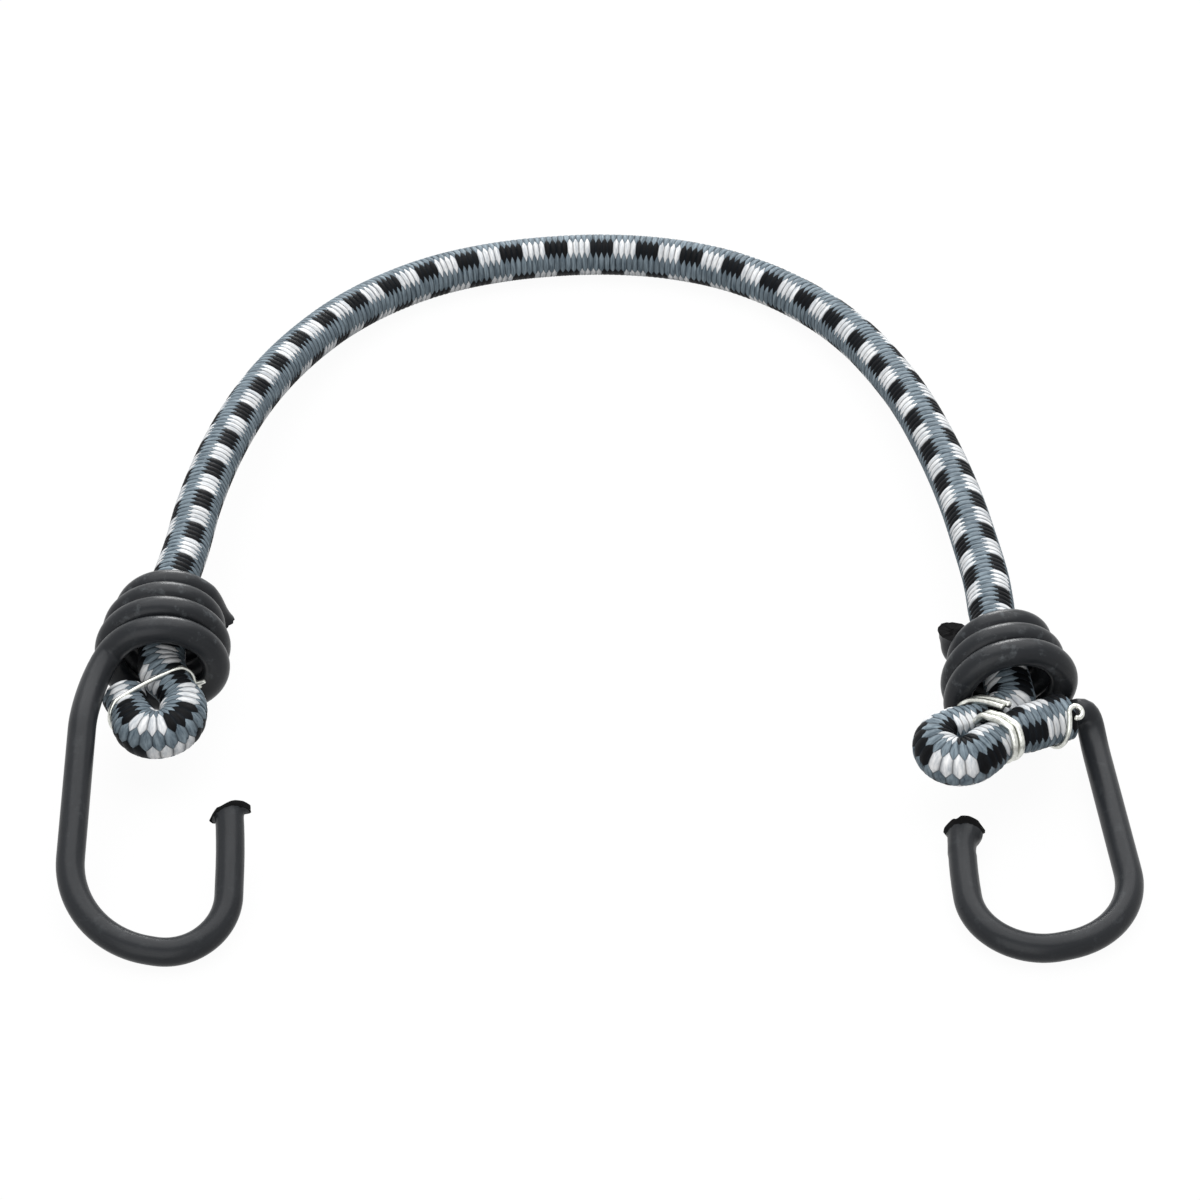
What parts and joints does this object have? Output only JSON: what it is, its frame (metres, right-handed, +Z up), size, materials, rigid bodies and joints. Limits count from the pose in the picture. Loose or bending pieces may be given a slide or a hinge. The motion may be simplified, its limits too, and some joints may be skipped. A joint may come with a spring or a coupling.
{
  "type": "bungee cord",
  "caption": "Short elastic tie-down: braided elastic cord lying in a bow, its folded ends tied with wire and held in the conical coils of coated wire hooks.",
  "frame": {"origin": "middle of the bottom of the hooks and folded ends, on the surface that the part lies on; the slack cord isn't counted", "axes": "+X from the left hook to the right hook, +Y from the hooks' bends back towards the bow of the slack cord, +Z up"},
  "size_m": [0.1738, 0.1936, 0.0224],
  "materials": {
    "hook_coating": "satin dipped vinyl, dark grey",
    "hook_steel": "drawn spring wire, bare under the coating",
    "braided_sheath": "braided filament yarn, slate grey with rows of black and white checks",
    "elastic_strand": "raw natural rubber",
    "tie_wire": "zinc plated"
  },
  "bodies": {
    "left_end": {"left_fold_sheath": "braided_sheath", "left_fold_strand_1": "elastic_strand", "left_fold_strand_2": "elastic_strand", "left_fold_strand_3": "elastic_strand", "left_fold_strand_4": "elastic_strand", "left_fold_strand_5": "elastic_strand", "left_fold_strand_6": "elastic_strand", "left_fold_strand_7": "elastic_strand", "left_fold_tie": "tie_wire", "slack_sheath": "braided_sheath", "slack_strand_1": "elastic_strand", "slack_strand_2": "elastic_strand", "slack_strand_3": "elastic_strand", "slack_strand_4": "elastic_strand", "slack_strand_5": "elastic_strand", "slack_strand_6": "elastic_strand", "slack_strand_7": "elastic_strand"},
    "right_end": {"right_fold_sheath": "braided_sheath", "right_fold_strand_1": "elastic_strand", "right_fold_strand_2": "elastic_strand", "right_fold_strand_3": "elastic_strand", "right_fold_strand_4": "elastic_strand", "right_fold_strand_5": "elastic_strand", "right_fold_strand_6": "elastic_strand", "right_fold_strand_7": "elastic_strand", "right_fold_tie": "tie_wire", "right_tail_clip": "tie_wire"},
    "left_hook": {"left_hook_coat": "hook_coating", "left_hook_wire": "hook_steel"},
    "right_hook": {"right_hook_coat": "hook_coating", "right_hook_wire": "hook_steel"}
  },
  "joints": [
    {"name": "stretch", "type": "slide", "parent": "left_end", "child": "right_end", "axis": [1, 0, 0], "range_m": [0, 0.36], "stiffness_N_per_m": 360, "deforming": ["slack_sheath", "slack_strand_1", "slack_strand_2", "slack_strand_3", "slack_strand_4", "slack_strand_5", "slack_strand_6", "slack_strand_7"]},
    {"name": "left_hook_turn", "type": "hinge", "parent": "left_end", "child": "left_hook", "pos_m": [-0.0736, 0.0194, 0.01078], "axis": [-0.007, 0.9993, 0.0376], "range_deg": [0, 140]},
    {"name": "right_hook_turn", "type": "hinge", "parent": "right_end", "child": "right_hook", "pos_m": [0.0685, 0.0114, 0.01074], "axis": [-0.087, 0.9946, 0.0562], "range_deg": [-150, 45]}
  ]
}
